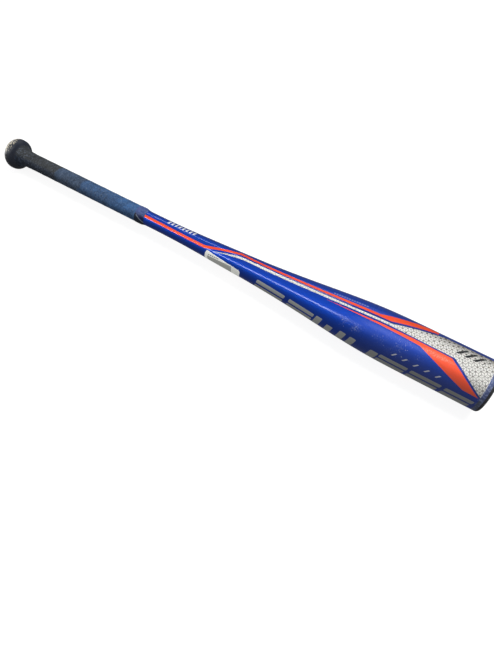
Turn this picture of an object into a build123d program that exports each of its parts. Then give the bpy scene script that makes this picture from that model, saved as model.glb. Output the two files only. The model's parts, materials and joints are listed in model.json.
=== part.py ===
from build123d import *

import os

# One-piece alloy baseball bat, lying along X with the knob at -X and the barrel at +X.
#
# Units are millimetres. Outlines are drawn as (station, radius) pairs: the station is the
# distance from the knob's end face along the bat, and the radius is measured from the bat's
# axis. Each outline is revolved about the axis, then the piece is moved back by half the
# bat's length, so that the origin is on the axis at the middle of the length.

# Overall sizes: a 31 inch bat with a 2 5/8 inch barrel and a 7/8 inch handle.
LENGTH = 31 * 25.4
BARREL_R = 2.625 * 25.4 / 2
HANDLE_R = 0.875 * 25.4 / 2
KNOB_R = 23.7

# Tube: stations where the handle ends and the barrel begins, and the wall at each end.
TAPER_START = 300.0
TAPER_END = 664.0
HANDLE_WALL = 1.75
BARREL_WALL = 2.0
TUBE_START = 2.4

# Knob: a rounded disc whose neck flares down to the handle.
KNOB_EDGE_R = 7.5
KNOB_DISC_END = 9.5
KNOB_FLARE = (20.0, 15.8)
KNOB_NECK_END = 35.0
KNOB_NECK_R = 12.6
WELD_END = 38.0
DECAL_R = 16.0
DECAL_THICKNESS = 0.35
PLUG_HEAD_R = 13.0
PLUG_LENGTH = 20.0
PLUG_WALL = 2.0

# Grip: an adhesive base tape, a wrap on top of it and a collar of tape that ends the wrap.
BASE_TAPE = 0.2
WRAP = 1.1
WRAP_START = 19.5
WRAP_END = 264.0
COLLAR = 0.25
COLLAR_START = 255.0
COLLAR_SLOPE_END = 270.0
COLLAR_END = 271.0

# End cap: a flange that closes the barrel, and a skirt bonded inside it.
CAP_FLANGE = 4.1
CAP_EDGE_R = 3.5
CAP_STEP = 0.1
CAP_DISH_R = 22.5
CAP_DISH_DEPTH = 2.2
CAP_WEB = 3.2
CAP_SKIRT_LENGTH = 22.0
CAP_SKIRT_WALL = 2.6
CAP_RIBS = 8
CAP_RIB_THICKNESS = 1.8
CAP_RIB_SETBACK = 4.0
CAP_HUB_R = 7.0
BADGE_CLEARANCE = 0.25
BADGE_THICKNESS = 1.4
BOND_GAP = 0.3
BOND_LENGTH = 8.0
GROOVE_DEPTH = 0.8
GROOVE_WIDTH = 3.0
GROOVE_START = 10.0
BEAD_CLEARANCE = 0.2

# Paper label on the taper: its middle's station, the way it faces as degrees round the bat
# from the top towards -Y, its size as seen from that way, how far its ends lean from its upper
# to its lower edge, and how far the whole label is turned.
LABEL_MIDDLE = 410.6
LABEL_FACING = 104.0
LABEL_LENGTH = 58.9
LABEL_WIDTH = 22.3
LABEL_CORNER_R = 3.0
LABEL_LEAN = 2.0
LABEL_SKEW = -1.7
LABEL_THICKNESS = 0.15

TUBE_END = LENGTH - CAP_FLANGE
BARREL_BORE_R = BARREL_R - BARREL_WALL
HANDLE_BORE_R = HANDLE_R - HANDLE_WALL

# The taper's outline between the straight handle and the straight barrel.
TAPER_POINTS = [(400.0, 14.6), (490.0, 19.5), (580.0, 28.0)]


def wall_at(station):
    """The tube's wall, which changes evenly from the handle's to the barrel's."""
    share = (station - TAPER_START) / (TAPER_END - TAPER_START)
    share = min(1.0, max(0.0, share))
    return HANDLE_WALL + share * (BARREL_WALL - HANDLE_WALL)


def tube_outline(outset):
    """The tube's outer line moved outwards by outset(station), as edges from handle to barrel."""
    ends = [(TAPER_START, HANDLE_R), *TAPER_POINTS, (TAPER_END, BARREL_R)]
    taper = [(s, r + outset(s)) for s, r in ends]
    handle = Line((TUBE_START, taper[0][1]), taper[0])
    swell = Spline(*taper, tangents=[(1, 0), (1, 0)])
    barrel = Line(taper[-1], (TUBE_END, taper[-1][1]))
    return [handle, swell, barrel]


def turned(edges, degrees=360):
    """The solid that a closed outline of edges makes when it is revolved about the bat's axis."""
    outline = Wire([piece for edge in edges for piece in edge.edges()])
    return revolve(Face(outline), Axis.X, degrees)


def ring(*points):
    """A revolved polygon of (station, radius) corners."""
    return turned([Polyline(*points, close=True)])


def filled(edges, start, end):
    """A solid of revolution from the axis out to an open outline of edges."""
    return turned([*edges, Polyline(edges[-1] @ 1, (end, 0), (start, 0), edges[0] @ 0)])


def tube_filled():
    return filled(tube_outline(lambda s: 0.0), TUBE_START, TUBE_END)


def bat_shell():
    """The tube that is handle, taper and barrel in one, with a groove inside its open end."""
    bore = filled(tube_outline(lambda s: -wall_at(s)), TUBE_START, TUBE_END)
    groove_end = TUBE_END - GROOVE_START
    groove_r = BARREL_BORE_R + GROOVE_DEPTH
    groove = ring(
        (groove_end - GROOVE_WIDTH, 0),
        (groove_end, 0),
        (groove_end, groove_r),
        (groove_end - GROOVE_WIDTH, groove_r),
    )
    return tube_filled() - bore - groove


def knob_neck(outset=0.0):
    """The neck's line from the disc down to the handle, moved outwards by outset."""
    return Spline(
        (KNOB_DISC_END, KNOB_R + outset),
        (KNOB_FLARE[0], KNOB_FLARE[1] + outset),
        (KNOB_NECK_END, KNOB_NECK_R + outset),
        tangents=[(1, 0), (1, 0)],
    )


def knob_outline():
    """The knob's outer line from its end face to the end of its neck."""
    face_r = KNOB_R - KNOB_EDGE_R
    edge = ThreePointArc(
        (0, face_r),
        (KNOB_EDGE_R * (1 - 0.5**0.5), face_r + KNOB_EDGE_R * 0.5**0.5),
        (KNOB_EDGE_R, KNOB_R),
    )
    disc = Line((KNOB_EDGE_R, KNOB_R), (KNOB_DISC_END, KNOB_R))
    return [edge, disc, knob_neck()]


def knob_filled():
    return filled(knob_outline(), 0, KNOB_NECK_END)


def knob():
    """The knob is bored for the handle, with shallow seats for the plug's head and the decal."""
    bore = ring((0, 0), (KNOB_NECK_END, 0), (KNOB_NECK_END, HANDLE_R), (0, HANDLE_R))
    head_seat = ring((0, 0), (TUBE_START, 0), (TUBE_START, PLUG_HEAD_R), (0, PLUG_HEAD_R))
    decal_seat = ring((0, 0), (DECAL_THICKNESS, 0), (DECAL_THICKNESS, DECAL_R), (0, DECAL_R))
    return knob_filled() - bore - head_seat - decal_seat


def knob_weld():
    """The bead of weld between the neck's end and the handle."""
    return ring((KNOB_NECK_END, HANDLE_R), (WELD_END, HANDLE_R), (KNOB_NECK_END, KNOB_NECK_R))


def knob_plug():
    """A push-in plug: a head in the knob's seat and a hollow stem in the handle's bore."""
    stem_end = TUBE_START + PLUG_LENGTH
    stem_r = HANDLE_BORE_R
    return ring(
        (DECAL_THICKNESS, 0),
        (DECAL_THICKNESS, PLUG_HEAD_R),
        (TUBE_START, PLUG_HEAD_R),
        (TUBE_START, stem_r),
        (stem_end, stem_r),
        (stem_end, stem_r - PLUG_WALL),
        (TUBE_START + PLUG_WALL, stem_r - PLUG_WALL),
        (TUBE_START + PLUG_WALL, 0),
    )


def knob_decal():
    """The round decal over the plug, flush with the knob's end face."""
    return ring((0, 0), (DECAL_THICKNESS, 0), (DECAL_THICKNESS, DECAL_R), (0, DECAL_R))


def grip_base_tape():
    """Double-sided tape between the weld and the end of the wrap."""
    tape_r = HANDLE_R + BASE_TAPE
    return ring(
        (WELD_END, HANDLE_R), (WRAP_END, HANDLE_R), (WRAP_END, tape_r), (WELD_END, tape_r)
    )


def wrap_filled():
    """The space inside the wrap's outer line, which follows the neck and then runs straight."""
    wrap_r = HANDLE_R + BASE_TAPE + WRAP
    neck = knob_neck(WRAP)
    line = [neck, Polyline(neck @ 1, (WELD_END + WRAP, wrap_r), (WRAP_END, wrap_r))]
    whole = filled(line, KNOB_DISC_END, WRAP_END)
    cut = ring((0, 0), (WRAP_START, 0), (WRAP_START, 2 * KNOB_R), (0, 2 * KNOB_R))
    return whole - cut


def grip_wrap():
    """The wrap over the neck, the weld and the base tape."""
    return wrap_filled() - knob_filled() - knob_weld() - grip_base_tape() - tube_filled()


def grip_collar():
    """The tape that holds the wrap's end, tapering down to the handle."""
    wrap_r = HANDLE_R + BASE_TAPE + WRAP
    outside = ring(
        (COLLAR_START, 0),
        (COLLAR_START, wrap_r + COLLAR),
        (WRAP_END, wrap_r + COLLAR),
        (COLLAR_SLOPE_END, HANDLE_R + COLLAR),
        (COLLAR_END, HANDLE_R + COLLAR),
        (COLLAR_END, 0),
    )
    return outside - wrap_filled() - tube_filled()


def taper_label():
    """A paper label with rounded corners that lies on the taper's front and underside."""
    x, y, lean = LABEL_LENGTH / 2, LABEL_WIDTH / 2, LABEL_LEAN / 2
    sheet = Polygon((x + lean, y), (lean - x, y), (-x - lean, -y), (x - lean, -y), align=None)
    outline = Rot(Z=LABEL_SKEW) * fillet(sheet.vertices(), LABEL_CORNER_R)
    column = Pos(LABEL_MIDDLE, 0, 0) * extrude(outline, BARREL_R)
    band = filled(tube_outline(lambda s: LABEL_THICKNESS), TUBE_START, TUBE_END) - tube_filled()
    return band & Rot(X=LABEL_FACING) * column


def end_cap():
    """The moulded cap: a flange flush with the barrel, a dished face, a skirt and inner ribs."""
    flange_r = BARREL_R - CAP_STEP
    edge_start = LENGTH - CAP_EDGE_R
    edge_middle = CAP_EDGE_R * (1 - 0.5**0.5)
    dish_floor = LENGTH - CAP_DISH_DEPTH
    web_start = dish_floor - CAP_WEB
    skirt_r = BARREL_BORE_R - BOND_GAP
    inner_r = skirt_r - CAP_SKIRT_WALL
    skirt_start = TUBE_END - CAP_SKIRT_LENGTH
    bead_r = BARREL_BORE_R + GROOVE_DEPTH - BEAD_CLEARANCE
    bead_end = TUBE_END - GROOVE_START - BEAD_CLEARANCE
    bead_start = bead_end - GROOVE_WIDTH + 2 * BEAD_CLEARANCE
    rounded = ThreePointArc(
        (edge_start, flange_r),
        (LENGTH - edge_middle, flange_r - edge_middle),
        (LENGTH, flange_r - CAP_EDGE_R),
    )
    rest = Polyline(
        (LENGTH, flange_r - CAP_EDGE_R),
        (LENGTH, CAP_DISH_R),
        (dish_floor, CAP_DISH_R),
        (dish_floor, 0),
        (web_start, 0),
        (web_start, inner_r),
        (skirt_start, inner_r),
        (skirt_start, skirt_r - 1.0),
        (skirt_start + 2.0, skirt_r),
        (bead_start, skirt_r),
        (bead_start + 0.6, bead_r),
        (bead_end, bead_r),
        (bead_end, skirt_r),
        (TUBE_END, skirt_r),
        (TUBE_END, flange_r),
        (edge_start, flange_r),
    )
    rib_start = skirt_start + CAP_RIB_SETBACK
    rib_depth = web_start - rib_start
    body = turned([rounded, rest])
    body += ring(
        (rib_start, 0), (web_start, 0), (web_start, CAP_HUB_R), (rib_start, CAP_HUB_R)
    )
    rib = Pos(rib_start + rib_depth / 2, inner_r / 2) * Box(rib_depth, inner_r, CAP_RIB_THICKNESS)
    for n in range(CAP_RIBS):
        body += Rot(X=n * 360 / CAP_RIBS) * rib
    return body


def end_cap_bond():
    """The cured adhesive between the cap's skirt and the barrel's bore."""
    start = TUBE_END - BOND_LENGTH - 1.0
    end = TUBE_END - 1.0
    skirt_r = BARREL_BORE_R - BOND_GAP
    return ring((start, skirt_r), (end, skirt_r), (end, BARREL_BORE_R), (start, BARREL_BORE_R))


def end_cap_badge():
    """The plain round badge that lies in the cap's dish."""
    floor = LENGTH - CAP_DISH_DEPTH
    radius = CAP_DISH_R - BADGE_CLEARANCE
    top = floor + BADGE_THICKNESS
    return ring((floor, 0), (floor, radius), (top - 0.5, radius), (top, radius - 0.5), (top, 0))


PIECES = [
    bat_shell,
    knob,
    knob_weld,
    knob_plug,
    knob_decal,
    grip_base_tape,
    grip_wrap,
    grip_collar,
    taper_label,
    end_cap,
    end_cap_bond,
    end_cap_badge,
]

if __name__ == "__main__":
    os.makedirs("parts", exist_ok=True)
    to_middle = Pos(-LENGTH / 2, 0, 0)
    for piece in PIECES:
        export_step(to_middle * piece(), f"parts/{piece.__name__}.step")
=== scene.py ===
import json
import math

import bpy
from mathutils import Matrix, Vector
from mathutils.bvhtree import BVHTree


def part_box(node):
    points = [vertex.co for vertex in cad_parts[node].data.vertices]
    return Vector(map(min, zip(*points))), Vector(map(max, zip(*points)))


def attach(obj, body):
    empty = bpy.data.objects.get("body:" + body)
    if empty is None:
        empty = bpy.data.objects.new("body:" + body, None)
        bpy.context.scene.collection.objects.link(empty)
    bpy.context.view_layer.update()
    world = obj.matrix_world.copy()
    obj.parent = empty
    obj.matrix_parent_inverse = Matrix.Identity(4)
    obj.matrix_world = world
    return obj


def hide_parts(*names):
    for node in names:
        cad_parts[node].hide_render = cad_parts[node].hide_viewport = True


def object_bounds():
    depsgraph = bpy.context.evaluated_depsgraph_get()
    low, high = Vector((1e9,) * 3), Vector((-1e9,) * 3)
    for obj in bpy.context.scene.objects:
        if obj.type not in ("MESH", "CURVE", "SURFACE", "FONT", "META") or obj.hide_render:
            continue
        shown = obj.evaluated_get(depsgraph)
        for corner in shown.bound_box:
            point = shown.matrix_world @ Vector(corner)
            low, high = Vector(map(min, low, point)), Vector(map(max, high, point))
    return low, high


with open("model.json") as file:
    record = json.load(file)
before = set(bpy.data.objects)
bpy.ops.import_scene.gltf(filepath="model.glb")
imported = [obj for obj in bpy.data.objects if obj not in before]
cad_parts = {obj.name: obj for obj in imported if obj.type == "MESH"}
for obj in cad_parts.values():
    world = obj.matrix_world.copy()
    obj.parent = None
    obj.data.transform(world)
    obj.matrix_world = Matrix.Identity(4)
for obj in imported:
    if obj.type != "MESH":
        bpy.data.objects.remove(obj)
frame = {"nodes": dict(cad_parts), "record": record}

# The bat lies along X with its axis through the origin. Surfaces are described by their station,
# in millimetres from the knob's end along the bat, and their turn, in degrees round the axis
# from the top towards -Y.

CAD_LOW, CAD_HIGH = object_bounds()
# Millimetres in a metre, and the bat's length in millimetres.
MM = 1000
LENGTH = (CAD_HIGH.x - CAD_LOW.x) * MM
FULL_TURN, HALF_TURN = 360, 180


def station(x):
    """The station of a place along X in metres."""
    return (x - CAD_LOW.x) * MM


def linear(red, green, blue):
    """A colour given as 0 to 255 on a screen, as the linear numbers that shaders use."""
    def one(v):
        v /= 255
        return v / 12.92 if v <= 0.04045 else ((v + 0.055) / 1.055) ** 2.4
    return (one(red), one(green), one(blue), 1.0)


# ---------------------------------------------------------------- materials from fields

# The sockets of a mix node that carry colours.
MIX_UNDER, MIX_OVER, MIX_RESULT = 6, 7, 2


class Field:
    """A number that varies over a surface, as the output of a node in one material."""

    def __init__(self, paint, socket):
        self.paint = paint
        self.socket = socket

    def op(self, kind, *others):
        """One step of arithmetic, with this number first."""
        return self.paint.math(kind, self, *others)

    def __add__(self, other):
        return self.op("ADD", other)

    def __sub__(self, other):
        return self.op("SUBTRACT", other)

    def __rsub__(self, other):
        return self.paint.math("SUBTRACT", other, self)

    def __mul__(self, other):
        return self.op("MULTIPLY", other)

    def __truediv__(self, other):
        return self.op("DIVIDE", other)

    def abs(self):
        """The size of this number without its sign."""
        return self.op("ABSOLUTE")

    def least(self, *others):
        """The smallest of this and the others."""
        found = self
        for other in others:
            found = found.op("MINIMUM", other)
        return found

    def most(self, *others):
        """The largest of this and the others."""
        found = self
        for other in others:
            found = found.op("MAXIMUM", other)
        return found

    def share(self, low, high, to_low=0.0, to_high=1.0, smooth=False):
        """to_low below low, to_high above high, and in even proportion between them."""
        node = self.paint.node("ShaderNodeMapRange")
        node.interpolation_type = "SMOOTHSTEP" if smooth else "LINEAR"
        node.clamp = True
        self.paint.feed(node.inputs[0], self)
        for socket, value in zip(node.inputs[1:5], (low, high, to_low, to_high)):
            socket.default_value = value
        return Field(self.paint, node.outputs[0])

    def inside(self, softness):
        """1 where a distance in mm is above zero and 0 where it is below, with a soft edge."""
        return self.share(-softness / 2, softness / 2)

    def between(self, low, high):
        """How far this is inside a range, and negative outside it."""
        return (self - low).least(high - self)

    def along(self, points):
        """The height of a line through (place, height) points at this place along it."""
        total = points[0][1]
        for (p0, h0), (p1, h1) in zip(points, points[1:]):
            total = self.share(p0, p1, 0.0, h1 - h0) + total
        return total


class Paint:
    """A material whose colour, gloss and relief are worked out from the place on the bat."""

    def __init__(self, name, **values):
        self.material = bpy.data.materials.new(name)
        self.material.use_nodes = True
        self.tree = self.material.node_tree
        self.shader = self.tree.nodes["Principled BSDF"]
        coords = self.node("ShaderNodeTexCoord")
        scaled = self.node("ShaderNodeVectorMath")
        scaled.operation = "SCALE"
        scaled.inputs["Scale"].default_value = MM
        self.tree.links.new(coords.outputs["Object"], scaled.inputs[0])
        self.place = scaled.outputs[0]
        split = self.node("ShaderNodeSeparateXYZ")
        self.tree.links.new(self.place, split.inputs[0])
        x, y, z = (Field(self, s) for s in split.outputs)
        # Station and radius are in mm, turn in degrees, and arc in mm round the bat in a degree.
        self.station = x - CAD_LOW.x * MM
        self.turn = self.math("ARCTAN2", y * -1, z) * math.degrees(1)
        self.radius = self.math("SQRT", y * y + z * z)
        self.arc = self.radius * math.radians(1)
        for key, value in values.items():
            self.set(key.replace("_", " "), value)

    def node(self, kind):
        """A new node in the material."""
        return self.tree.nodes.new(kind)

    def feed(self, socket, value):
        """Give a socket a field, another node's output or a plain value."""
        if isinstance(value, Field):
            self.tree.links.new(value.socket, socket)
        elif isinstance(value, bpy.types.NodeSocket):
            self.tree.links.new(value, socket)
        else:
            socket.default_value = value

    def math(self, kind, *inputs):
        """One step of arithmetic on fields and plain numbers."""
        node = self.node("ShaderNodeMath")
        node.operation = kind
        for socket, value in zip(node.inputs, inputs):
            self.feed(socket, value)
        return Field(self, node.outputs[0])

    def around(self, middle, period):
        """The turn from a middle line, with the design repeated every period degrees."""
        half = period / 2
        return self.math("WRAP", self.turn - middle, half, -half)

    def noise(self, size, stretch=(1, 1, 1), detail=2.0, rough=0.5, shift=0.0):
        """Cloudy noise from 0 to 1, whose lumps are about size mm times stretch."""
        mapping = self.node("ShaderNodeMapping")
        mapping.inputs["Location"].default_value = (shift, shift, shift)
        mapping.inputs["Scale"].default_value = [1 / (size * k) for k in stretch]
        self.tree.links.new(self.place, mapping.inputs[0])
        node = self.node("ShaderNodeTexNoise")
        node.inputs["Scale"].default_value = 1.0
        node.inputs["Detail"].default_value = detail
        node.inputs["Roughness"].default_value = rough
        self.tree.links.new(mapping.outputs[0], node.inputs["Vector"])
        return Field(self, node.outputs["Fac"])

    def over(self, under, share, colour):
        """A colour laid over another one, where share is 1."""
        node = self.node("ShaderNodeMix")
        node.data_type = "RGBA"
        self.feed(node.inputs[0], share)
        self.feed(node.inputs[MIX_UNDER], under)
        self.feed(node.inputs[MIX_OVER], colour)
        return node.outputs[MIX_RESULT]

    def shade(self, colour, factor):
        """A colour made lighter or darker by a factor field."""
        node = self.node("ShaderNodeMix")
        node.data_type = "RGBA"
        node.blend_type = "MULTIPLY"
        node.inputs[0].default_value = 1.0
        self.feed(node.inputs[MIX_UNDER], colour)
        grey = self.node("ShaderNodeCombineColor")
        for socket in grey.inputs:
            self.feed(socket, factor)
        self.tree.links.new(grey.outputs[0], node.inputs[MIX_OVER])
        return node.outputs[MIX_RESULT]

    def set(self, name, value):
        """Set one input of the material's surface."""
        self.feed(self.shader.inputs[name], value)

    def relief(self, height, depth, strength):
        """Fine relief: height from 0 to 1, and depth in mm."""
        node = self.node("ShaderNodeBump")
        node.inputs["Strength"].default_value = strength
        node.inputs["Distance"].default_value = depth / MM
        self.feed(node.inputs["Height"], height)
        self.set("Normal", node.outputs[0])

    def on(self, obj):
        """Put the material on an object in place of what it had."""
        obj.data.materials.clear()
        obj.data.materials.append(self.material)


# ---------------------------------------------------------------- the tube's paint

# Edges of the painted shapes, as (station, turn) corners.
STRIPE_TOP = [(270, 16.4), (300, 19.4), (340, 24.2), (377.5, 25.8), (401, 1.6), (431.5, -28.2),
              (450, -21.5), (480, -16.5), (520, -12.9), (560, -10.3), (600, -9.4), (634, -9.8),
              (709, -52)]
STRIPE_BOTTOM = [(270, 36.5), (300, 38.6), (320, 41), (360, 42.3), (378.5, 41.5), (401, 15),
                 (432.5, -13.2), (460, -8.7), (500, -5), (560, -3.2), (600, -2.5), (650, -3.5),
                 (742, -52)]
PANEL_TOP = [(392.5, 38), (401, 27.6), (411, 17.4), (421, 7.6), (432.5, -1.6), (440, -2.6),
             (460, -1.6), (500, 1), (540, 2.1), (600, 3.2), (652, 1.3), (716, -31.7)]
PANEL_BOTTOM = [(392.5, 38.3), (401, 31), (413, 21.6), (426, 14.8), (436.5, 9.4), (450, 8.8),
                (480, 10.7), (520, 10.2), (560, 9), (600, 8.4), (650, 7), (700, 8.8),
                (733, 9.7), (778.3, 60.5)]
WING_TOP = [(567, 13.3), (600, 12.9), (640, 11.2), (680, 10.9), (730.5, 12.8), (776.5, 63.4)]
WING_BOTTOM = [(567, 13.8), (600, 15.0), (640, 15.7), (670, 17.2), (692, 19.2), (757, 62.2),
               (776.5, 63.6)]
# The stations where each shape starts and ends, and the turn where the stripe is cut off.
STRIPE_START, STRIPE_END = 270, 706
PANEL_START, PANEL_END = 392.5, 778.3
WING_START, WING_END = 567, 776.5
STRIPE_LIMIT = -45
# The design covers half a turn with its middle at this turn, and is repeated on the far side.
DESIGN_TURN = 5
# In mm: the width of every soft edge, how far the dark line beside the panel reaches outside and
# inside the panel's edge, and the spacing of the panel's net.
EDGE = 0.15
OUTLINE_OUT, OUTLINE_IN = 2.4, 1
NET_SPACING = 6.4

# The large print on the sides of the bat is only slanted silver blocks and bars. A block has
# (start, end) stations and stands in both rows. A bar has (start, end, first edge) and reaches
# to BAR_LAST_EDGE. Rows and edges are in mm round the bat from the line at BLOCK_TURN.
BLOCKS = [(466, 511), (518, 557), (653, 690), (694, 733), (738, 773)]
BARS = [(560, 569, -13.0), (577.5, 586.5, -9.6), (595.5, 604.5, -12.6), (610, 619, -12.8),
        (640, 651, -11.2)]
BLOCK_TURN = 97
BLOCK_LEAN = 0.28
BLOCK_CORNER_R = 1.6
BLOCK_ROWS = [(-12.1, -6.0), (-3.0, 12.9)]
BAR_LAST_EDGE = 12.9

# Rows of slanted ticks and bars in place of the small print: first and last station, turn of the
# middle, half the height, pitch, share of the pitch that is inked, and slant.
WHITE_TICKS = [(309, 358, -20, 3.3, 6.2, 0.5, 0.25), (669.5, 731, 60.5, 2.2, 14.0, 0.16, 1.0)]
FAINT_TICKS = (570, 617, -16.5, 0.9, 3.4, 0.7, 0.3)
DARK_BARS = (736, 768, -13, 5.4, 10.4, 0.42, 1.0)

ROYAL = linear(0, 63, 177)
NAVY = linear(0, 24, 92)
ORANGE = linear(255, 86, 46)
RUBBED_HIGHLIGHT_ORANGE = linear(255, 190, 165)
WHITE = linear(252, 251, 246)
TICK_WHITE = linear(236, 238, 244)
TICK_BLUE = linear(150, 162, 222)
SILVER = linear(200, 204, 204)
BLACK = linear(28, 29, 32)
NET_AND_SHADE_GREY = linear(78, 72, 63)
BARREL_GREYING_COLOUR = linear(116, 116, 112)
RING_GREY = linear(96, 104, 124)
SCUFF_GREY = linear(156, 168, 205)


def dashes(paint, turn, first, last, middle, half_height, pitch, share, slant):
    """A row of slanted dashes between two stations, as a mask."""
    across = (turn - middle) * paint.arc
    lean = paint.station + across * slant
    place = (lean - first) / pitch
    dash = (share / 2 - (place.op("FRACT") - share / 2).abs()) * pitch
    row = half_height - across.abs()
    return dash.least(row, lean.between(first, last)).inside(EDGE)


def lattice(paint, turn, spacing):
    """Distances in mm to the nearest, middle and furthest line of three crossing families."""
    line_gap = spacing * math.sqrt(3) / 2
    across = turn * paint.arc
    gaps = []
    for degrees in (0, 60, 120):
        c, s = math.cos(math.radians(degrees)), math.sin(math.radians(degrees))
        lines = (paint.station * c + across * s) / line_gap
        gaps.append((0.5 - (lines.op("FRACT") - 0.5).abs()) * line_gap)
    nearest, furthest = gaps[0].least(*gaps[1:]), gaps[0].most(*gaps[1:])
    return nearest, gaps[0] + gaps[1] + gaps[2] - nearest - furthest, furthest


def net_and_painted_shade(paint, turn):
    """A net of stacked rhombi in thin lines with dots growing towards the sides, as a mask, with
    painted shade below turn -8.
    """
    nearest, middle, furthest = lattice(paint, turn, NET_SPACING)
    grow = turn.share(-32, -4, 1.0, 0).most(turn.share(28, 50, 0, 0.5))
    ribs = ((middle - nearest) / math.sqrt(3)).share(0.15, 0.5, 0.85, 0.0)
    knots = (furthest - grow).share(0.4, 1.0, 1.0, 0.0) * turn.share(-12, 6, 1.0, 0.8)
    small_furthest = lattice(paint, turn, NET_SPACING / 2)[2]
    small_knots = (small_furthest - grow * 0.4).share(0.4, 0.8, 0.4, 0.0)
    uneven = paint.noise(3.5, detail=2).share(0.35, 0.65, 0.75, 1.25)
    net = ribs.most(knots, small_knots) * uneven * paint.station.share(630, 670, 0.6, 1.0)
    # Painted shade: the panel greys over at turns below -8.
    return (net + turn.share(-36, -8, 0.42, 0.0)).least(1.0)


def block(paint, lean, across, start, end, low, high):
    """How far inside one rounded block a place is, in mm."""
    past_x = (lean - (start + end) / 2).abs() - ((end - start) / 2 - BLOCK_CORNER_R)
    past_y = (across - (low + high) / 2).abs() - ((high - low) / 2 - BLOCK_CORNER_R)
    past_x, past_y = past_x.most(0.0), past_y.most(0.0)
    return BLOCK_CORNER_R - paint.math("SQRT", past_x * past_x + past_y * past_y)


def silver_blocks(paint):
    """Slanted blocks and bars with rounded corners on both sides of the bat, as a mask."""
    across = paint.around(BLOCK_TURN, HALF_TURN) * paint.arc
    lean = paint.station + across * BLOCK_LEAN
    pieces = [(start, end, low, high) for start, end in BLOCKS for low, high in BLOCK_ROWS]
    pieces += [(start, end, low, BAR_LAST_EDGE) for start, end, low in BARS]
    first, *others = [block(paint, lean, across, *piece) for piece in pieces]
    return first.most(*others).inside(EDGE)


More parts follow.
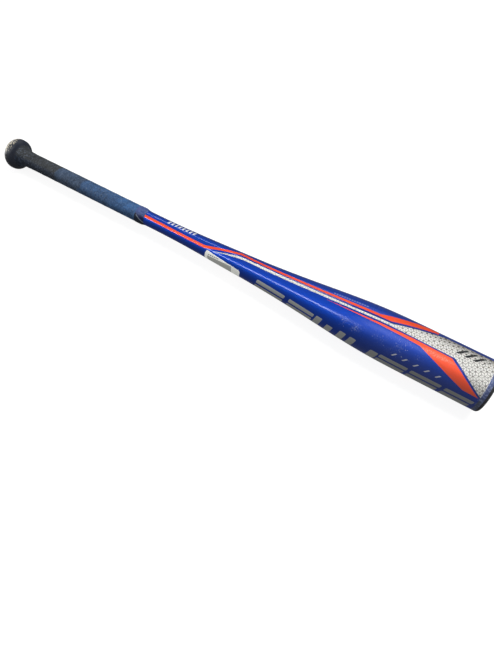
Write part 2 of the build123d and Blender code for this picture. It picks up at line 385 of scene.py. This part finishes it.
def tube_paint():
    """Glossy blue paint with the printed shapes, scuffed most where the barrel meets the ball."""
    paint = Paint("tube_paint", Specular_IOR_Level=0.1)
    s = paint.station
    turn = paint.around(DESIGN_TURN, HALF_TURN) + DESIGN_TURN
    arc = paint.arc

    def shape(top, bottom, first, last):
        """A shape between two edges and two stations, as a mask."""
        rows = (turn - s.along(top)).least(s.along(bottom) - turn) * arc
        return rows.least(s.between(first, last)).inside(EDGE)

    def spot(middle, middle_turn, long, high):
        """An oval spot, as a number that is 0 in its middle and grows with the distance squared."""
        return (s - middle).op("POWER", 2) / long + (turn - middle_turn).op("POWER", 2) / high

    stripe = shape(STRIPE_TOP, STRIPE_BOTTOM, STRIPE_START, STRIPE_END)
    stripe = stripe * ((turn - STRIPE_LIMIT) * arc).inside(EDGE)
    panel = shape(PANEL_TOP, PANEL_BOTTOM, PANEL_START, PANEL_END)
    wing = shape(WING_TOP, WING_BOTTOM, WING_START, WING_END)
    blocks = silver_blocks(paint)

    clouds = paint.noise(60, stretch=(2, 1, 1))
    flakes = paint.noise(0.5, detail=1.0)
    sparkle = clouds.share(0.3, 0.7, 0.92, 1.06) * flakes.share(0.3, 0.7, 0.93, 1.07)
    blue = paint.shade(ROYAL, sparkle)
    upper = ((turn - s.along(PANEL_TOP)) * arc).between(-OUTLINE_OUT, OUTLINE_IN).inside(EDGE)
    lower = ((s.along(PANEL_BOTTOM) - turn) * arc).between(-OUTLINE_OUT, OUTLINE_IN).inside(EDGE)
    outline = (upper * s.share(428, 440)).most(lower * s.share(565, 580, 0, 0.6))
    blue = paint.over(blue, outline * 0.5, NAVY)
    colour = paint.over(blue, stripe.most(wing), ORANGE)
    colour = paint.over(colour, panel, WHITE)
    # The net's grey also lays painted shade over the panel at turns below -8.
    colour = paint.over(colour, panel * net_and_painted_shade(paint, turn), NET_AND_SHADE_GREY)
    # The silver is painted darker towards the barrel's end, as painted shade.
    colour = paint.over(colour, blocks, paint.shade(SILVER, s.share(560, 700, 1.0, 0.76)))

    first, second = [dashes(paint, turn, *row) for row in WHITE_TICKS]
    colour = paint.over(colour, first.most(second), TICK_WHITE)
    colour = paint.over(colour, dashes(paint, turn, *FAINT_TICKS) * 0.8, TICK_BLUE)
    colour = paint.over(colour, dashes(paint, turn, *DARK_BARS), BLACK)

    # Scuffs, most of them in two spots on the barrel with nicks round them, and a rubbed and
    # chipped ring beside the cap.
    fine = paint.noise(1.5, stretch=(0.8, 1.5, 1.5), detail=4, rough=0.75)
    patches = paint.noise(14, detail=2, shift=3.1)
    spot_a, spot_b = spot(606, 46, 150, 110), spot(672, 43, 600, 260)
    near_a, near_b = spot_a.share(0.3, 2.5, 1, 0), spot_b.share(0.3, 2.5, 0.8, 0)
    cloud = patches.share(0.38, 0.6) * near_a.most(near_b, s.share(560, 640, 0, 0.12))
    scuff = (fine + spot_a.share(0.3, 2.5, 0.07, 0)).share(0.54, 0.66) * cloud
    nicks = paint.noise(2.8, detail=1, shift=9.4).share(0.71, 0.74)
    scuff = scuff.most(nicks * spot_b.share(0.8, 3.0, 1, 0), nicks * spot_a.share(1.0, 3.0, 1, 0))
    # The barrel's lower side between stations 590 and 680 is greyed over in clouds.
    barrel_greying = s.share(590, 680) * turn.share(30, 65) * clouds.share(0.3, 0.7, 0.12, 0.24)
    colour = paint.over(colour, barrel_greying, BARREL_GREYING_COLOUR)
    rubbed_ring = s.share(777.8, 779) * patches.share(0.3, 0.6, 0.6, 0.95)
    colour = paint.over(colour, rubbed_ring, RING_GREY)
    chips = paint.noise(2.2, detail=4).share(0.52, 0.60) * s.share(776, 779)
    scuff = scuff.most(chips * 0.8)
    colour = paint.over(colour, scuff * 0.75, SCUFF_GREY)
    # A whitish patch on the wing is partly rubbed paint and partly a painted highlight.
    wing_rub_and_highlight = wing * spot(712, 21, 500, 22).share(0.2, 1.6, 0.4, 0) * fine.share(0.42, 0.58)
    colour = paint.over(colour, wing_rub_and_highlight, RUBBED_HIGHLIGHT_ORANGE)

    # The blue is metallic and the printed shapes less so, under a coat that dulls past the taper.
    ink = stripe.most(wing, panel, blocks)
    used = s.share(560, 660)
    paint.set("Base Color", colour)
    paint.set("Metallic", ink.share(0, 1, 0.7, 0.1) + stripe.most(wing) * 0.25)
    paint.set("Roughness", scuff * 0.1 + 0.5)
    paint.set("Coat Weight", scuff.share(0, 1, 0.65, 0.2) * stripe.share(0, 1, 1, 0.45))
    paint.set("Coat Roughness", scuff * 0.3 + used * 0.23 + s.share(430, 560, 0.13, 0.12))
    return paint


# ---------------------------------------------------------------- the other finishes


# The turn at the middle of the knob's most rubbed side.
KNOB_WEAR_TURN = 8


def knob_paint():
    """Dark blue paint, rubbed to pale metal round the rim and in flecks over the flare's top, the
    bare metal greyed towards the sides as painted shade.
    """
    paint = Paint("knob_paint", Coat_Weight=0.2, Coat_Roughness=0.25)
    deep, dusty, neck_grey = linear(18, 27, 44), linear(40, 47, 62), linear(52, 55, 62)
    chip_grey, dull_metal = linear(100, 104, 110), linear(150, 150, 158)
    bright_metal, shaded_side_metal = linear(222, 212, 184), linear(128, 130, 136)
    s, turn = paint.station, paint.turn
    aside = (turn - KNOB_WEAR_TURN).abs()
    coarse = paint.noise(2.6, stretch=(0.9, 1, 1), detail=4, rough=0.7)
    grain = paint.noise(1.2, detail=3, rough=0.6)
    rim = s.share(6.2, 9.8, 0.2, 0.0, smooth=True) * aside.share(40, 62, 1, 0.4)
    top = aside.share(18, 34, 0.07, -0.1) * s.share(8, 10) * s.share(12.5, 15, 1, 0)
    base = s.share(12, 14.5, 0, -0.2)
    worn = (coarse + rim + top + base).share(0.55, 0.62)
    chips = (grain * 0.55 + coarse * 0.45).share(0.60, 0.66)
    colour = paint.over(deep, grain.share(0.35, 0.7), dusty)
    colour = paint.over(colour, s.share(17, 22), neck_grey)
    colour = paint.over(colour, chips * 0.5, chip_grey)
    bare = paint.over(dull_metal, coarse.share(0.4, 0.6), bright_metal)
    # Painted shade: the bare metal greys towards the sides.
    bare = paint.over(bare, turn.abs().share(34, 48, 0, 0.85), shaded_side_metal)
    colour = paint.over(colour, worn, bare)
    paint.set("Base Color", colour)
    paint.set("Metallic", worn * 0.2)
    paint.set("Roughness", grain.share(0.3, 0.7, 0.42, 0.6))
    paint.relief(grain * 0.5 + coarse, 0.25, 0.5)
    return paint


# The wrap advances this many mm in a turn. Its colour changes along the laps that cross the top
# of the handle at these stations.
WRAP_PITCH = 25.0
SLATE_START, BLUE_START = 101.0, 151.0


def wrap_rubber():
    """Rubber tape that turns from charcoal through slate to blue, rubbed and gritty, with painted
    shade on its underside and along its seams.
    """
    paint = Paint("wrap_rubber", Specular_IOR_Level=0.25)
    top_charcoal, shaded_underside_charcoal = linear(57, 60, 63), linear(36, 46, 62)
    slate, blue = linear(59, 77, 102), linear(55, 94, 142)
    fleck_grey, dirt_and_shade_grey = linear(124, 138, 160), linear(24, 32, 40)
    turn = paint.turn
    wound = paint.station + turn * (WRAP_PITCH / FULL_TURN)
    grain = paint.noise(1.5, detail=3, rough=0.65)
    blotch = paint.noise(9, detail=3)
    flecks = paint.noise(2.2, stretch=(1, 1.4, 1.4), detail=3, rough=0.7, shift=7.7)
    warped = wound + blotch.share(0.3, 0.7, -2.0, 2.0)
    # Painted shade: the charcoal darkens on the underside.
    charcoal = paint.over(top_charcoal, (turn + 12).abs().share(44, 66), shaded_underside_charcoal)
    colour = paint.over(charcoal, warped.share(SLATE_START - 1, SLATE_START + 1), slate)
    deeper = warped.share(BLUE_START - 2, BLUE_START + 2, 0, 0.6)
    colour = paint.over(colour, deeper.most(wound.share(170, 225)), blue)
    mottle = blotch.share(0.3, 0.7, 0.8, 1.3) * grain.share(0.3, 0.7, 0.65, 1.5)
    colour = paint.shade(colour, mottle)
    colour = paint.over(colour, flecks.share(0.54, 0.66) * 0.4, fleck_grey)
    # Painted shade darkens each lap's seam on the lower side, over dark dirt in blotches.
    seam = ((wound - SLATE_START) / WRAP_PITCH).op("FRACT").share(0, 0.2, 0.7, 0)
    seam = seam * turn.share(10, 45) * blotch.share(0.35, 0.55, 1, 0.35)
    dirt_and_seam_shade = (flecks.share(0.34, 0.46, 0.6, 0) * blotch.share(0.4, 0.6, 1, 0.4)).most(seam)
    colour = paint.over(colour, dirt_and_seam_shade, dirt_and_shade_grey)
    paint.set("Base Color", colour)
    paint.set("Roughness", grain.share(0.3, 0.7, 0.58, 0.8))
    paint.relief(grain, 0.35, 0.8)
    return paint


# The collar's tape ends in a fold that runs slanting round the bat: its station at one turn, the
# mm along the bat that it gains in a degree, and the turns where it sets in and starts to fade.
# A slit lies beside its near end.
FOLD_START, FOLD_TURN, FOLD_SLOPE = 258.0, 48.0, 0.346
FOLD_FIRST_TURN, FOLD_LAST_TURN = 38, 110
SLIT_STATIONS, SLIT_TURNS = (252, 257.8), (36, 56)


def collar_tape():
    """Stretched blue tape, greyed where its end is folded over, with painted shadow beside the fold
    and painted shade past it and in the slit.
    """
    paint = Paint("collar_tape", Specular_IOR_Level=0.25)
    blue, pale_blue, fold_grey = linear(56, 77, 128), linear(92, 110, 172), linear(118, 128, 136)
    shadow, shaded_beyond_fold, slit_shade = linear(28, 42, 66), linear(22, 34, 84), linear(14, 20, 46)
    s, turn = paint.station, paint.turn
    grain = paint.noise(1.5, stretch=(3, 1, 1), detail=3)
    colour = paint.over(blue, grain.share(0.35, 0.7), pale_blue)
    past = s - FOLD_START - (turn - FOLD_TURN) * FOLD_SLOPE
    sets_in = turn.share(FOLD_FIRST_TURN, FOLD_FIRST_TURN + 8)
    reach = sets_in * turn.share(FOLD_LAST_TURN, FOLD_LAST_TURN + 20, 1, 0)
    colour = paint.over(colour, past.share(-1.4, -0.6, 1, 0) * reach, shadow)
    # Painted shade: past the fold the tape darkens on the lower side.
    colour = paint.over(colour, past.share(1.4, 2.4) * turn.share(26, 48), shaded_beyond_fold)
    fold = past.share(-1.2, -0.5) * past.share(1.2, 2.0, 1, 0) * reach
    colour = paint.over(colour, fold, fold_grey)
    # Painted shade fills the slit.
    slit = s.between(*SLIT_STATIONS).least(turn.between(*SLIT_TURNS) * paint.arc)
    colour = paint.over(colour, slit.share(-0.2, 0.5), slit_shade)
    paint.set("Base Color", colour)
    paint.set("Roughness", grain.share(0.3, 0.7, 0.4, 0.55))
    paint.relief(grain, 0.08, 0.6)
    return paint


# The label's printing follows a line that starts here and climbs by this many mm in a mm. Block,
# strip and marks are given by their stations, and by mm round the bat from that line.
PRINT_START, PRINT_TURN, PRINT_LEAN = 382, 104, 0.087
PRINT_BLOCK, PRINT_STRIP, PRINT_TOP = (386.2, 427.2), (428.4, 439.6), -7.0
MARK_SPANS, MARK_ROW = [(387, 406), (417, 427)], (-9.9, -8.5)
LINE_PITCH, LINE_WIDTH = 1.7, 0.9
MARK_PITCH, MARK_WIDTH = 3.1, 2.0


def label_film():
    """A pale film with grey printing: a block of fine lines, a strip and a row of small marks. It
    glows in its own colours as painted light.
    """
    paint = Paint("label_film", Roughness=0.5, Emission_Strength=0.32)
    film, grimy, strip_grey = linear(250, 250, 244), linear(205, 205, 196), linear(232, 233, 226)
    block_grey, line_grey = linear(168, 170, 166), linear(160, 162, 158)
    mark_grey = linear(60, 60, 62)
    s = paint.station
    down = (paint.turn - PRINT_TURN) * paint.arc + (s - PRINT_START) * PRINT_LEAN

    def bands(pitch, width):
        """Bands across the bat, one in every pitch, as a mask."""
        return ((s / pitch).op("FRACT") * pitch).between(0, width).inside(EDGE)

    below = down - PRINT_TOP
    block = s.between(*PRINT_BLOCK).least(below).inside(EDGE)
    strip = s.between(*PRINT_STRIP).least(below).inside(EDGE)
    first, second = [s.between(*span) for span in MARK_SPANS]
    marks = bands(MARK_PITCH, MARK_WIDTH) * first.most(second).inside(EDGE)
    marks = marks * down.between(*MARK_ROW).inside(EDGE)
    grime = paint.noise(6, detail=4)
    colour = paint.over(film, grime.share(0.4, 0.75, 0, 0.35), grimy)
    colour = paint.over(colour, strip, strip_grey)
    colour = paint.over(colour, block, block_grey)
    colour = paint.over(colour, block * bands(LINE_PITCH, LINE_WIDTH) * 0.5, line_grey)
    colour = paint.over(colour, marks, mark_grey)
    paint.set("Base Color", colour)
    # Painted light: the film glows in its own colours.
    paint.set("Emission Color", colour)
    paint.relief(grime, 0.05, 0.4)
    return paint


def cap_plastic():
    """Near-black plastic with a fine grain, rubbed grey most of all at the cap's outer edge."""
    paint = Paint("cap_plastic")
    dark, rubbed_grey = linear(48, 50, 56), linear(112, 114, 118)
    grain = paint.noise(0.8, detail=3)
    wear = paint.noise(8, detail=5, rough=0.65)
    edge = paint.radius.share(29, 33) * paint.station.share(LENGTH - 4, LENGTH - 1)
    rubbed = (wear + edge * 0.12).share(0.58, 0.72) * 0.5
    colour = paint.over(dark, rubbed, rubbed_grey)
    paint.set("Base Color", paint.shade(colour, grain.share(0.3, 0.7, 0.92, 1.08)))
    paint.set("Roughness", grain.share(0.3, 0.7, 0.42, 0.58))
    paint.relief(grain, 0.06, 0.6)
    return paint


# Half the width of a badge's ring, in mm.
RING_HALF_WIDTH = 1.1


def badge_plastic(name, ring_r):
    """A plain disc in the tube's blue with one orange ring and fine turned lines."""
    paint = Paint(name, Coat_Weight=0.8, Coat_Roughness=0.1, Roughness=0.35)
    grain = paint.noise(5, detail=4)
    ring = (RING_HALF_WIDTH - (paint.radius - ring_r).abs()).inside(EDGE)
    colour = paint.shade(ROYAL, grain.share(0.3, 0.7, 0.75, 1.0))
    colour = paint.over(colour, ring, ORANGE)
    colour = paint.over(colour, grain.share(0.6, 0.7) * 0.4, linear(150, 155, 170))
    paint.set("Base Color", colour)
    paint.relief((paint.radius * 2).op("SINE"), 0.04, 0.4)
    return paint


def plain(name, dark, light, size, roughness, depth, **values):
    """A finish of two mottled tones with a grain."""
    paint = Paint(name, **values)
    grain = paint.noise(size, detail=4)
    paint.set("Base Color", paint.over(linear(*dark), grain.share(0.35, 0.7), linear(*light)))
    paint.set("Roughness", grain.share(0.3, 0.7, roughness - 0.08, roughness + 0.08))
    paint.relief(grain, depth, 0.6)
    return paint


# ---------------------------------------------------------------- pieces


def surface_of(node):
    """What rays meet on a CAD node."""
    return BVHTree.FromObject(frame["nodes"][node], bpy.context.evaluated_depsgraph_get())


def outer_radius(surface, x):
    """The outer radius of a CAD node at a place along X."""
    return surface.ray_cast(Vector((x, 0, 1)), Vector((0, 0, -1)))[0].z


def inner_radius(surface, x):
    """The inner radius of a CAD node at a place along X."""
    return surface.ray_cast(Vector((x, 0, 0)), Vector((0, 0, 1)))[0].z


def blended(radii, reach):
    """Radii averaged over the neighbours within reach on each side, with the ends kept."""
    count = len(radii)
    spans = [min(i, count - 1 - i, reach) for i in range(count)]
    return [sum(radii[i - w:i + w + 1]) / (2 * w + 1) for i, w in enumerate(spans)]


def tube_faces(count, segments):
    """Quads over the outside, the inside and the two ends of a tube of count + 1 rings."""
    inside = (count + 1) * segments
    faces = []
    for i in range(count):
        for k in range(segments):
            n = (k + 1) % segments
            a, b = i * segments + k, i * segments + n
            c, d = a + segments, b + segments
            faces.append((a, b, d, c))
            faces.append((inside + a, inside + c, inside + d, inside + b))
    for i in (0, count):
        for k in range(segments):
            n = (k + 1) % segments
            a, b = i * segments + k, i * segments + n
            end = (a, inside + a, inside + b, b)
            faces.append(end if i == 0 else end[::-1])
    return faces


# In metres: how far from a sleeve's ends its end radii are measured, and its least wall.
END_INSET = 2e-5
LEAST_WALL = 5e-5
# Edges that bend by more than this look sharp.
SHARP_ANGLE = math.radians(50)


def sleeve(name, node, rise, step, segments, blend=0):
    """A closed sleeve with the bore of a CAD sleeve.

    Its outside stands rise(station, turn) mm off the CAD's, which is first evened out over blend
    rings on each side. Rings are step mm apart.
    """
    surface = surface_of(node)
    low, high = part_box(node)
    count = round((high.x - low.x) * MM / step)
    xs = [low.x + (high.x - low.x) * i / count for i in range(count + 1)]
    inside = [min(max(x, low.x + END_INSET), high.x - END_INSET) for x in xs]
    outer = blended(blended([outer_radius(surface, x) for x in inside], blend), blend)
    inner = [inner_radius(surface, x) for x in inside]
    turns = [FULL_TURN * k / segments - HALF_TURN for k in range(segments)]

    def corner(x, r, turn):
        """The point at a radius and a turn."""
        a = math.radians(turn)
        return (x, -r * math.sin(a), r * math.cos(a))

    verts = []
    for x, r_out, r_in in zip(xs, outer, inner):
        for turn in turns:
            r = max(r_out + rise(station(x), turn) / MM, r_in + LEAST_WALL)
            verts.append(corner(x, r, turn))
    verts += [corner(x, r, turn) for x, r in zip(xs, inner) for turn in turns]
    mesh = bpy.data.meshes.new(name)
    mesh.from_pydata(verts, [], tube_faces(count, segments))
    mesh.shade_smooth()
    mesh.set_sharp_from_angle(angle=SHARP_ANGLE)
    piece = bpy.data.objects.new(name, mesh)
    bpy.context.scene.collection.objects.link(piece)
    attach(piece, "root")
    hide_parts(node)
    return piece


def smooth(value):
    """A soft step from 0 at zero to 1 at one."""
    value = min(1.0, max(0.0, value))
    return value * value * (3 - 2 * value)


# The relief of the wrap and the collar, in mm. Over the knob's neck the wrap thins within
# NECK_RUN_IN of NECK_START, and is back to its full thickness NECK_RUN_OUT past NECK_END.
LAP_HEIGHT, LAP_RISE, LAP_FLAT, LAP_FALL = 0.14, 0.7, 3.0, 4.0
WRAP_SINK, DENT_DEPTH = 0.08, 0.05
NECK_START, NECK_RUN_IN, NECK_END, NECK_RUN_OUT = 24, 8, 34.5, 4
NECK_THINNING = 0.85
FOLD_HEIGHT, FOLD_WIDTH, STEP_DEPTH, PUCKER_DEPTH = 0.3, 1.1, 0.12, 0.05


def wrap_rise(s, turn):
    """Each turn of the wrap laps over the one before, and it is stretched thin over the neck."""
    wound = s + turn * WRAP_PITCH / FULL_TURN
    place = (wound - SLATE_START) % WRAP_PITCH
    lap = smooth(place / LAP_RISE) * (1 - smooth((place - LAP_FLAT) / LAP_FALL))
    a = math.radians(turn)
    dents = DENT_DEPTH * math.sin(0.31 * s + 2.0 * math.sin(a)) * math.cos(2 * a)
    thinned = smooth((s - NECK_START) / NECK_RUN_IN)
    restored = smooth((s - NECK_END) / NECK_RUN_OUT)
    thin = NECK_THINNING * thinned * (1 - restored)
    return LAP_HEIGHT * lap - WRAP_SINK + dents - thin


def collar_rise(s, turn):
    """The tape's last turn ends in a slanting fold, and its stretched edge is puckered."""
    past = s - FOLD_START - (turn - FOLD_TURN) * FOLD_SLOPE
    reach = smooth((turn - FOLD_FIRST_TURN) / 10) * (1 - smooth((turn - FOLD_LAST_TURN) / 20))
    fold = FOLD_HEIGHT * math.exp(-(past / FOLD_WIDTH) ** 2) * reach
    step = -STEP_DEPTH * smooth((past - 1) / 1.5) * reach
    pucker = PUCKER_DEPTH * math.sin(math.radians(turn * 9) + s * 0.5)
    return fold + step + pucker


def flush(s, turn):
    """The tube's outside has no relief."""
    return 0.0


shell = sleeve("bat_shell_drawn", "bat_shell", flush, 4.0, 240, blend=6)
grip = sleeve("grip_wrap_wound", "grip_wrap", wrap_rise, 0.6, 120, blend=5)
collar = sleeve("grip_collar_wound", "grip_collar", collar_rise, 0.25, 120)

nodes = frame["nodes"]
tube_paint().on(shell)
knob_paint().on(nodes["knob"])
wrap_rubber().on(grip)
collar_tape().on(collar)
label_film().on(nodes["taper_label"])
cap_plastic().on(nodes["end_cap"])
badge_plastic("badge_plastic", 16).on(nodes["end_cap_badge"])
badge_plastic("decal_film", 12.5).on(nodes["knob_decal"])
weld = plain("weld_metal", (120, 121, 124), (176, 177, 180), 1.5, 0.4, 0.2, Metallic=0.9)
weld.on(nodes["knob_weld"])
plain("plug_rubber", (26, 26, 28), (44, 44, 47), 1.2, 0.65, 0.1).on(nodes["knob_plug"])
plain("tape_fabric", (176, 170, 150), (214, 208, 190), 0.8, 0.8, 0.15).on(nodes["grip_base_tape"])
plain("bond_resin", (38, 38, 40), (66, 66, 68), 2.5, 0.35, 0.15).on(nodes["end_cap_bond"])

# ---------------------------------------------------------------- floor, light and camera

# In metres: the floor's reach on each side, and how far from the knob's end it touches the floor.
FLOOR_REACH = 4.0
KNOB_TOUCH = 0.0085
FLOOR_GLOW = 0.9
FLOOR_GREY = linear(138, 138, 138)

# The bat lies on the barrel's start and on its knob, so the floor leans against the axis.
mounts = {mount["name"]: mount for mount in frame["record"]["mounts"]}
barrel = mounts["barrel"]
barrel_start = barrel["pos_m"][0] - barrel["dims"]["length_mm"] / MM / 2
barrel_r = (CAD_HIGH.z - CAD_LOW.z) / 2
knob_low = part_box("knob")[0]
lean = (knob_low.z + barrel_r) / (barrel_start - knob_low.x - KNOB_TOUCH)
corners = [(-FLOOR_REACH, -FLOOR_REACH), (FLOOR_REACH, -FLOOR_REACH),
           (FLOOR_REACH, FLOOR_REACH), (-FLOOR_REACH, FLOOR_REACH)]
floor_points = [(x, y, -barrel_r - lean * (x - barrel_start)) for x, y in corners]
floor_mesh = bpy.data.meshes.new("floor")
floor_mesh.from_pydata(floor_points, [], [(0, 1, 2, 3)])
floor = bpy.data.objects.new("floor", floor_mesh)
bpy.context.scene.collection.objects.link(floor)
floor.visible_diffuse = False
floor.visible_glossy = False
floor_paint = Paint("floor", Roughness=0.9, Specular_IOR_Level=0.1, Emission_Strength=FLOOR_GLOW)
floor_tone = floor_paint.noise(400).share(0.3, 0.7, 0.99, 1.0)
floor_paint.set("Base Color", floor_paint.shade(FLOOR_GREY, floor_tone))
floor_paint.set("Emission Color", (1, 1, 1, 1))
floor_paint.on(floor)


def studio_world(above, level, below, background):
    """Soft light of the strengths given for up, level and down, and a plain pale background."""
    world = bpy.data.worlds.new("studio")
    world.use_nodes = True
    tree = world.node_tree
    coords = tree.nodes.new("ShaderNodeTexCoord")
    split = tree.nodes.new("ShaderNodeSeparateXYZ")
    ramp = tree.nodes.new("ShaderNodeValToRGB")
    seen = tree.nodes.new("ShaderNodeLightPath")
    mix = tree.nodes.new("ShaderNodeMix")
    mix.data_type = "RGBA"
    ramp.color_ramp.elements.new(0.5)
    height = tree.nodes.new("ShaderNodeMapRange")
    height.inputs[1].default_value = -1
    stops = zip(ramp.color_ramp.elements, (0.0, 0.5, 1.0), (below, level, above))
    for element, place, value in stops:
        element.position = place
        element.color = (value, value, value, 1)
    tree.links.new(coords.outputs["Generated"], split.inputs[0])
    tree.links.new(split.outputs["Z"], height.inputs[0])
    tree.links.new(height.outputs[0], ramp.inputs[0])
    tree.links.new(seen.outputs["Is Camera Ray"], mix.inputs[0])
    tree.links.new(ramp.outputs[0], mix.inputs[MIX_UNDER])
    mix.inputs[MIX_OVER].default_value = (background, background, background, 1)
    tree.links.new(mix.outputs[MIX_RESULT], tree.nodes["Background"].inputs[0])
    bpy.context.scene.world = world


studio_world(above=0.2, level=0.2, below=0.15, background=0.95)


def area_light(name, at, towards, along, width, length, watts, lit=True, mirrored=True):
    """A rectangular light whose length lies along a direction.

    It shines on matt surfaces if lit, and is seen in glossy ones if mirrored.
    """
    light = bpy.data.lights.new(name, "AREA")
    light.shape = "RECTANGLE"
    light.size, light.size_y = width, length
    light.energy = watts
    back = (Vector(at) - Vector(towards)).normalized()
    long_way = (Vector(along) - Vector(along).dot(back) * back).normalized()
    obj = bpy.data.objects.new(name, light)
    bpy.context.scene.collection.objects.link(obj)
    obj.matrix_world = Matrix.Translation(at) @ Matrix(
        (long_way.cross(back), long_way, back)).transposed().to_4x4()
    obj.visible_diffuse = lit
    obj.visible_glossy = mirrored


# Some lamps only light matt surfaces, and some are only seen in the gloss: the two long strips
# draw the bright lines along the handle and the taper.
X_WAY, Y_WAY = (1, 0, 0), (0, 1, 0)
area_light("key", at=(0.42, 0.35, 1.5), towards=(0.1, 0, 0), along=Y_WAY,
           width=0.7, length=0.5, watts=17.5, mirrored=False)
area_light("glow", at=(0.25, -0.42, 1.5), towards=(0.1, 0, 0), along=Y_WAY,
           width=0.5, length=0.5, watts=6, lit=False)
area_light("ceiling", at=(-1.35, -0.2, 1.5), towards=(-1.35, -0.2, 0), along=X_WAY,
           width=2.4, length=2.1, watts=6, mirrored=False)
area_light("ceiling_shine", at=(-1.35, -0.2, 1.52), towards=(-1.35, -0.2, 0), along=X_WAY,
           width=2.4, length=2.1, watts=2, lit=False)
area_light("near_strip", at=(-1.35, -1.33, 1.5), towards=(-0.2, 0, 0), along=X_WAY,
           width=0.22, length=2.1, watts=24, lit=False)
area_light("far_strip", at=(-1.35, 1.08, 1.5), towards=(-0.2, 0, 0), along=X_WAY,
           width=0.16, length=2.1, watts=12, lit=False)
area_light("card", at=(0.3, 1.9, 1.3), towards=(0.2, 0, 0), along=X_WAY,
           width=1.0, length=2.2, watts=8, lit=False)
area_light("knob_side", at=(-1.9, -0.25, 0.2), towards=(-0.39, 0, 0), along=Y_WAY,
           width=0.7, length=0.7, watts=9)

CAMERA_AT = Vector((0.26731, -0.35269, 0.54888))
CAMERA_AIM = Vector((0.10175, -0.08455, 0.0))
camera = bpy.data.cameras.new("camera")
camera.sensor_width = 36
camera.lens = 26.85
camera_object = bpy.data.objects.new("camera", camera)
bpy.context.scene.collection.objects.link(camera_object)
camera_object.location = CAMERA_AT
camera_object.rotation_euler = (CAMERA_AIM - CAMERA_AT).to_track_quat("-Z", "Y").to_euler()
bpy.context.scene.camera = camera_object
bpy.context.scene.view_settings.view_transform = "Standard"
